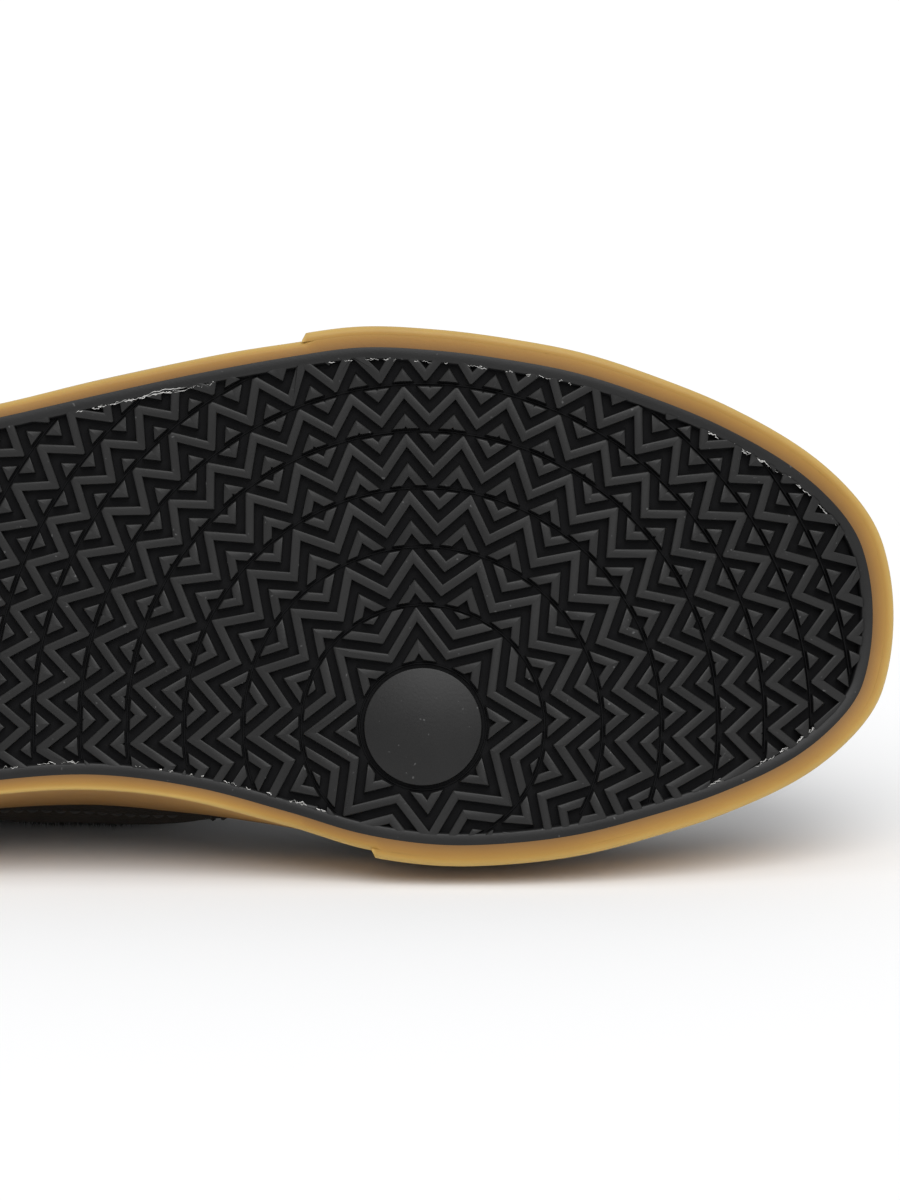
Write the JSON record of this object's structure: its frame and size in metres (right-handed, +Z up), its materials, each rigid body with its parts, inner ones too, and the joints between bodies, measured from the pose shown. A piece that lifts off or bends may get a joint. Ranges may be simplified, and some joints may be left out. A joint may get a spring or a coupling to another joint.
{
  "type": "skateboarding shoe",
  "caption": "Low vulcanised skate shoe for the right foot, black suede on a gum-sided herringbone sole, lying on its inner side with the sole facing out.",
  "frame": {"origin": "centre of the lying shoe's bounding box, at floor height", "axes": "+X from heel to toe, +Y from the tread towards the collar, +Z up. The shoe lies on its inner side, so the tread faces -Y and leans back by about 13 degrees."},
  "size_m": [0.2996, 0.1208, 0.1115],
  "materials": {
    "black_rubber": "matte",
    "gum_rubber": "satin",
    "black_suede": "matte",
    "black_lining": "matte",
    "black_lace": "matte"
  },
  "bodies": {
    "root": {"outsole": "black_rubber", "foxing": "gum_rubber", "toe_bumper": "gum_rubber", "upper": "black_suede", "tongue": "black_suede", "insole": "black_lining", "lace_bar_1": "black_lace", "lace_bar_2": "black_lace", "lace_bar_3": "black_lace", "lace_bar_4": "black_lace", "lace_bar_5": "black_lace", "lace_bar_6": "black_lace"}
  },
  "joints": []
}
